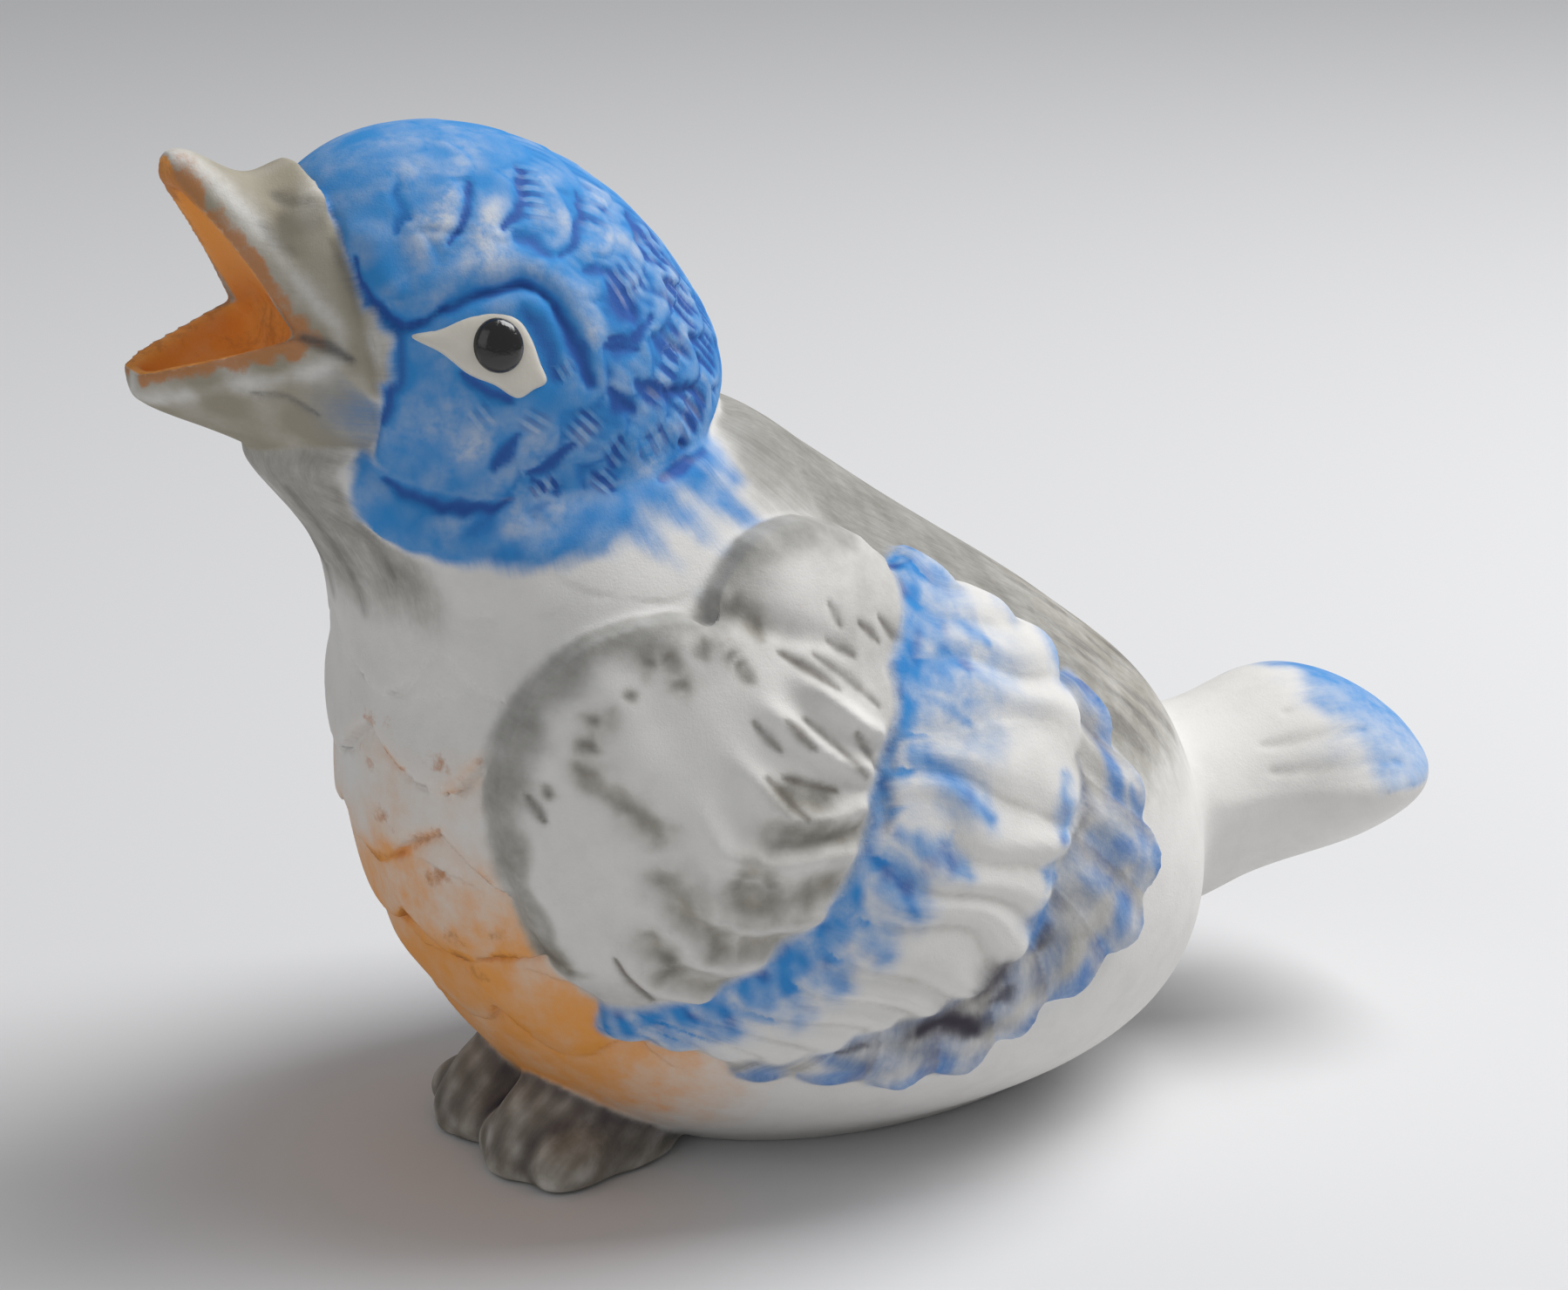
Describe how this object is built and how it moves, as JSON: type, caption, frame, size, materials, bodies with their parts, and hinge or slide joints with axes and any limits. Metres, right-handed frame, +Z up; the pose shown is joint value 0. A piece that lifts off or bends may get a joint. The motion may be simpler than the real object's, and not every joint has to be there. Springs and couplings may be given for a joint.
{
  "type": "chalkware figure",
  "caption": "Small painted songbird figure with a wide open beak, folded feathered wings and a paddle tail, resting on a flat base as a shelf ornament.",
  "frame": {"origin": "on the flat underside of the base, on the figure's mid-line, where the body rests on the shelf", "axes": "+Z up, the bird faces -Y, and its left side is +X"},
  "size_m": [0.0692, 0.1263, 0.0934],
  "materials": {
    "body_paint": "matte unglazed body, washed orange on the breast and brushed grey on the back",
    "head_paint": "matte wiped blue, darker in the feather grooves",
    "beak_paint": "matte warm grey outside and orange inside",
    "tail_paint": "matte white with a brushed blue tip",
    "eye_white": "matte white",
    "pupil_gloss": "glossy black",
    "shoulder_paint": "matte white with brushed grey at the rim",
    "covert_paint": "matte blue at the roots, wiped white on the feather tips",
    "flight_paint": "matte grey with blue and dark feather tips",
    "foot_paint": "matte brown grey, wiped paler on the toes"
  },
  "bodies": {
    "root": {"body": "body_paint", "head": "head_paint", "upper_beak": "beak_paint", "lower_beak": "beak_paint", "tail": "tail_paint", "left_eye": "eye_white", "right_eye": "eye_white", "left_pupil": "pupil_gloss", "right_pupil": "pupil_gloss", "left_wing_shoulder": "shoulder_paint", "right_wing_shoulder": "shoulder_paint", "left_wing_coverts": "covert_paint", "right_wing_coverts": "covert_paint", "left_wing_flights": "flight_paint", "right_wing_flights": "flight_paint", "left_foot": "foot_paint", "right_foot": "foot_paint"}
  },
  "joints": []
}
